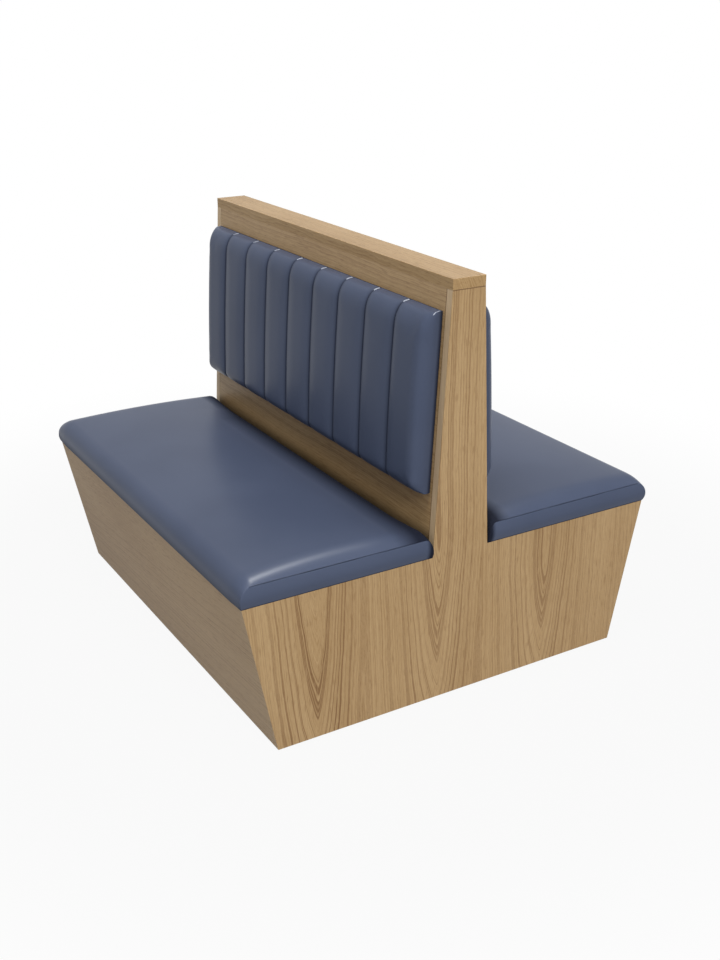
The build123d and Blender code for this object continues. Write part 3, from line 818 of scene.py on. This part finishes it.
CHANNELS = 9
CHANNEL_CELLS = 14
END_CHANNEL_CELLS = 18
PAD_END_CELLS = 7
PAD_RISE_CELLS = 52
PAD_EDGE_CELLS = 9
PAD_OUT_CELLS = 4
PAD_GAP = 1 * MM
PAD_DEPTH = 42 * MM           # at the seams, before the crown
PAD_CROWN = 4 * MM
PAD_SWELL = 6 * MM            # the middle of a channel stands out past its seams by this much
SWELL_POWER = 5               # how square a channel's swelling is
SWELL_EDGE = 0.1              # the share of it that is left at the top and the foot
PAD_TOP_ROLL = 50 * MM
PAD_FOOT_ROLL = 30 * MM
PAD_TOP_LIFT = 3 * MM         # the top slopes up to the board by this much
TOP_LIFT_POWER = 20           # a high power keeps that slope at the top
PAD_END_ROLL = 22 * MM
PAD_SIDE_SHARE = 0.36         # the share of the depth that the sides have
PAD_BACK_ROLL = 1 * MM
PAD_SIM_CAP = 1.5 * MM
PAD_SEAM_HALF = 4.2 * MM
PAD_SEAM_DEPTH = 4 * MM
SEAM_EDGE_SHARE = 0.3         # the share of the seams' depth that is left at the top and the foot
SEAM_FROM_BACK = 0.1          # the seams start at this share of the cushion's depth
SEAM_SHADE = 12 * MM          # painted shade darkens the cover softly this far to each side of a seam
SEAM_SHADE_DARKNESS = 0.42
END_ROLL_DARKNESS = 0.2       # and towards the ends, and on them
END_DARKNESS = 0.75           # and more on an end's back half
END_DARK_FROM = 0.7
END_DARK_OVER = 0.5
GLINT_RISE = 0.9              # painted highlights show from this share of the height up
GLINT_REACH = 21 * MM         # and this far out from the board
CORNER_REACH = 23 * MM
CORNER_INSET = 4 * MM
CORNER_WIDTH = 1.8 * MM
PAD_PAINTED_SHADE_SHARE = 0.3          # the share of the sides' depth, from the back, that has painted shade next to the board

pad_half = pad_high.x
pad_foot = (pad_low.z - seat_base) * slope - lean * PAD_GAP
pad_head = (pad_high.z - seat_base) * slope - lean * (PAD_GAP + PAD_SIDE_SHARE * PAD_DEPTH)
pad_height = pad_head - pad_foot
channel_width = 2 * pad_half / CHANNELS


def on_back(up, away):
    """The y and z of a place up the front back board's slope and away from its face."""
    return -upright_half + (lean * up - away) / slope, seat_base + (up + lean * away) / slope


def off_back(rows):
    """How far up the front back board's slope and away from its face each of these places is."""
    y, z = on_back(0, 0)
    past_y = rows[:, 1] - y
    past_z = rows[:, 2] - z
    return (lean * past_y + past_z) / slope, (lean * past_z - past_y) / slope


def channel_lines():
    """Places of the lattice lines across the back cushion, with one on each seam."""
    near = round_lines(PAD_END_ROLL, PAD_END_CELLS)
    far = np.linspace(PAD_END_ROLL, channel_width, END_CHANNEL_CELLS - PAD_END_CELLS + 1)
    channel = np.concatenate([near[:-1], far])
    inner_cells = (CHANNELS - 2) * CHANNEL_CELLS
    inner = np.linspace(channel_width, 2 * pad_half - channel_width, inner_cells + 1)
    return np.concatenate([channel[:-1], inner, 2 * pad_half - channel[-2::-1]]) - pad_half


def pad_form(place, swelling):
    """Where each point of the block lies on the front back cushion."""
    across, rise, out = place.T
    x = at(across, channel_lines())
    foot_lines = round_lines(PAD_FOOT_ROLL, PAD_EDGE_CELLS)
    top_lines = pad_height - round_lines(PAD_TOP_ROLL, PAD_EDGE_CELLS)[::-1]
    middle = np.linspace(foot_lines[-1], top_lines[0], PAD_RISE_CELLS - 2 * PAD_EDGE_CELLS + 1)
    up = at(rise, np.concatenate([foot_lines[:-1], middle, top_lines[1:]]))
    edge = np.minimum(roll(up / PAD_FOOT_ROLL), roll((pad_height - up) / PAD_TOP_ROLL))
    full = roll((pad_half - abs(x)) / PAD_END_ROLL) * edge
    phase = 2 * np.mod((x + pad_half) / channel_width, 1) - 1
    crown = PAD_CROWN * 4 * up * (pad_height - up) / pad_height ** 2
    bulge = swelling * (1 - abs(phase) ** SWELL_POWER) * mix(SWELL_EDGE, 1, edge)
    front = PAD_DEPTH * mix(PAD_SIDE_SHARE, 1, full) + crown * full + bulge
    rounding = PAD_BACK_ROLL * (1 - out) ** 2
    up = up + PAD_TOP_LIFT * (1 - out) * (up / pad_height) ** TOP_LIFT_POWER
    up = mix(up, pad_height / 2, 2 * rounding / pad_height)
    y, z = on_back(pad_foot + up, PAD_GAP + front * out)
    return np.stack([x * (1 - rounding / pad_half), y, z], 1)


def back_shade(piece, drawn):
    """The painted shade on the cover at each point: in and beside its seam creases, on and towards
    its ends, and next to the board.
    """
    across, rise, out = kept(piece, "place", 3).T
    from_middle = abs(points_of(piece)[:, 0])
    shade = np.where(outer(across) | outer(rise), fading(out, PAD_PAINTED_SHADE_SHARE), drawn)
    end_roll = fading(pad_half - from_middle, PAD_END_ROLL) ** 2 * END_ROLL_DARKNESS
    on_end = END_ROLL_DARKNESS + END_DARKNESS * np.clip((END_DARK_FROM - out) / END_DARK_OVER, 0, 1)
    turned = np.where(outer(across), on_end, end_roll)
    from_seam = abs((points_of(piece)[:, 0] + pad_half) % channel_width - channel_width / 2)
    beside = SEAM_SHADE_DARKNESS * fading(channel_width / 2 - from_seam, SEAM_SHADE)
    beside[outer(across) | (from_middle > pad_half - SEAM_SHADE)] = 0
    return np.max([shade, turned, beside], axis=0)


def back_painted_highlight(piece, drawn):
    """Which points get a painted highlight: the tops of the seams, and a short line near each upper
    corner.
    """
    rise, out = kept(piece, "place", 3).T[1:]
    rows = points_of(piece)
    away = off_back(rows)[1]
    corner = abs(pad_half - abs(rows[:, 0]) - CORNER_INSET) < CORNER_WIDTH / 2
    high = (rise > GLINT_RISE) & (last(rise) | (out > 0.99)) & (out > PAD_PAINTED_SHADE_SHARE)
    return high & ((drawn > 0) | corner) & (away < np.where(corner, CORNER_REACH, GLINT_REACH))


def back_cushion(material):
    cells = (2 * END_CHANNEL_CELLS + (CHANNELS - 2) * CHANNEL_CELLS, PAD_RISE_CELLS, PAD_OUT_CELLS)
    piece = block("back_cushion_front", cells)
    place = kept(piece, "place", 3)
    across, rise, out = place.T
    put_points(piece, pad_form(place, PAD_SWELL - PAD_SIM_CAP))
    seam_steps = END_CHANNEL_CELLS + CHANNEL_CELLS * np.arange(CHANNELS - 1)
    seam = np.isin(np.rint(across * cells[0]), seam_steps)
    held = np.where(outer(across) | outer(rise), HELD_WALL, HELD_BACK)
    held[seam | first(out)] = 1
    swell(piece, held, PAD_SIM_CAP)
    keep(piece, "line", seam)
    apply(piece, "SUBSURF", levels=1, render_levels=1)

    rise, out = kept(piece, "place", 3).T[1:]
    line = (kept(piece, "line") > 0.99) & (out > SEAM_FROM_BACK)
    depth = PAD_SEAM_DEPTH * np.where(outer(rise), SEAM_EDGE_SHARE, 1)
    drawn = sew(piece, line, PAD_SEAM_HALF, depth)
    # the seam attribute carries all the painted shade on the back cover
    keep(piece, "seam", back_shade(piece, drawn))
    # painted highlights on the back cover
    keep(piece, "painted_highlight", back_painted_highlight(piece, drawn))

    middle = read(piece.data.polygons, "center", 3)
    up, away = off_back(middle)
    behind = (away < PAD_GAP + SAME_FACE) & (abs(middle[:, 0]) < pad_half - HEM)
    behind &= (up - pad_foot > HEM) & (up - pad_foot < pad_height - HEM)
    recess(piece, behind, (0, -HEM_POCKET / slope, HEM_POCKET * lean / slope))
    finish_pad(piece, material, "back_pad_", "back_cover_", "back_foam_")


# The camera, the lights and the floor

LAMP_TARGET = (0, 0, 0.5)


def look_at(piece, target):
    """Turn a lamp or camera to face a place."""
    way = Vector(target) - piece.location
    piece.rotation_euler = way.to_track_quat("-Z", "Y").to_euler()


def soft_light(name, place, size, power, on_all=True):
    """A square lamp. One that isn't on all adds only gloss, as a window far up in a studio does."""
    bpy.ops.object.select_all(action="DESELECT")
    bpy.ops.object.light_add(type="AREA", location=place)
    lamp = bpy.context.object
    lamp.name = name
    lamp.data.size = size
    lamp.data.energy = power
    lamp.visible_diffuse = on_all
    look_at(lamp, LAMP_TARGET)


def white_rays(sheet):
    """1 for what the camera sees directly, in gloss or through glass."""
    kinds = ("Is Camera Ray", "Is Glossy Ray", "Is Transmission Ray")
    camera_ray, gloss, glass = [sheet.node("LightPath", out=kind) for kind in kinds]
    return sheet.larger(camera_ray, sheet.larger(gloss, glass))


def room(strength):
    """Soft light from all round, with a white background."""
    world = bpy.data.worlds.new("white_room")
    bpy.context.scene.world = world
    sheet = Sheet(world)
    soft = sheet.node("Background", {"Color": (1, 1, 1), "Strength": strength})
    white = sheet.node("Background", {"Color": (1, 1, 1), "Strength": 1.0})
    both = sheet.node("MixShader", {0: white_rays(sheet), 1: soft, 2: white})
    sheet.node("OutputWorld", {"Surface": both})


FLOOR_RADIUS = 12.0
FLOOR_GREY = (0.3, 0.3, 0.3)
FLOOR_WHITE = 0.93            # how far the floor is white near the bench, for what the camera sees
SHADOW_NEAR = 1.0
SHADOW_FAR = 2.2              # and it's fully white this far from the middle


def floor():
    """A pale floor that keeps a faint shadow of the bench and fades to white away from it."""
    bpy.ops.object.select_all(action="DESELECT")
    bpy.ops.mesh.primitive_circle_add(vertices=64, radius=FLOOR_RADIUS, fill_type="NGON")
    made = bpy.context.object
    made.name = "floor"
    sheet = finish("pale_floor")
    x, y = sheet.axes()[:2]
    radius = (x * x + y * y) ** 0.5
    whiteness = FLOOR_WHITE + radius.ramp(SHADOW_NEAR, SHADOW_FAR) * (1 - FLOOR_WHITE)
    share = white_rays(sheet) * whiteness
    plain = sheet.node("BsdfDiffuse", {"Color": FLOOR_GREY})
    white = sheet.node("Emission", {"Color": (1, 1, 1), "Strength": 1.0})
    both = sheet.node("MixShader", {0: share, 1: plain, 2: white})
    sheet.node("OutputMaterial", {"Surface": both})
    dress(made, sheet.owner)


def camera(place, target, lens):
    bpy.ops.object.select_all(action="DESELECT")
    bpy.ops.object.camera_add(location=place)
    made = bpy.context.object
    made.data.lens = lens
    made.data.sensor_width = 36
    look_at(made, target)
    bpy.context.scene.camera = made


# The finishes of the frame's own pieces

def dress_nodes():
    pine_dark, pine_light = tint(196, 148, 92), tint(226, 192, 140)
    beech_dark, beech_light = tint(196, 150, 112), tint(216, 176, 138)
    finishes = {
        "centre_rib": plywood("plywood_rib", 0),
        "back_ply": plywood("plywood_back", 1),
        "seat_board": plywood("plywood_seat", 2),
        "back_foam": foam(),
        "cap_dowels": timber("dowel_beech", 2, beech_dark, beech_light),
        "wall_bar_screws": metal("screw_steel", tint(196, 198, 200), 1, 0.3),
        "wall_bar": metal("bar_aluminium", tint(214, 216, 218), 0, 0.35),
        "glides": nylon(),
    }
    finishes["seat_foam"] = finishes["back_foam"]
    finishes["pad_bar"] = finishes["wall_bar"]
    for name in ("pad_bar_screws", "cleat_screws", "cap_screws", "locator_screws"):
        finishes[name] = finishes["wall_bar_screws"]
    pine = [timber("pine_along_" + "xyz"[axis], axis, pine_dark, pine_light) for axis in range(3)]
    for name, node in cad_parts.items():
        fitting = [start for start in finishes if name.startswith(start)]
        low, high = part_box(name)
        size = list(high - low)
        if fitting:
            material = finishes[max(fitting, key=len)]
        elif name == "corner_blocks":
            material = pine[2]
        else:
            material = pine[size.index(max(size))]
        for place in node.material_slots:
            place.material = material


dress_nodes()

# Each figure: place across the board, start, end, top, strength
end_hearts = [(-0.39, -0.05, 0.45, 0.15, 0.7),
              (-0.055, 0.0, 0.42, 0.42, 0.4),
              (0.265, 0.0, 0.3, 0.3, 0.4)]
base_hearts = [(0.14, -0.7, 0.42, 0.42, 0.2)]
# the heights over which the back boards get painted shade above the seat cushion
seat_shade_heights = (seat_base + 22 * MM, seat_base + 76 * MM)
# the end panels get painted light on their edges
end_oak = oak("oak_end", 2, 1, half_length, end_hearts, shift=0.4, contrast=0.25,
              joint=back_top, edge=0.6)
# the base boards get painted light, lighter towards their right ends
base_oak = oak("oak_base", 0, 2, -base_low.y, base_hearts, taper=0.05, tilt=-0.1, shift=3.1,
               contrast=0.1, gloss=0.15, climb=0.22)
# the back boards get painted shade just above the seat cushion
back_oak = oak("oak_back", 0, 2, upright_half, shift=7.4, contrast=0.3, joint=inside, painted_shade_below=seat_shade_heights)
cap_oak = oak("oak_cap", 0, 1, cap_high.z, shift=11.9, contrast=0.2, gloss=0.2)
for end in ("left", "right"):
    board("end_panel_" + end, end_oak)
for side in ("front", "rear"):
    board("base_panel_" + side, base_oak)
    board("back_panel_" + side, back_oak)
board("top_cap", cap_oak)

blue = vinyl()
seat_cushion(blue)
back_cushion(blue)

camera(place=(2.69227, -1.53695, 1.64604), target=(0.13806, 0, 0.40408), lens=45.40)
soft_light("key", (16.8, -2.4, 11.7), size=7.2, power=2580)
soft_light("overhead", (-0.3, 0.9, 6.0), size=0.9, power=28)
soft_light("front", (1.1, -1.6, 5.2), size=2.0, power=79)
soft_light("shine", (-0.3, 1.1, 6.0), size=0.9, power=460, on_all=False)
room(strength=0.31)
floor()
bpy.context.scene.view_settings.view_transform = "Standard"
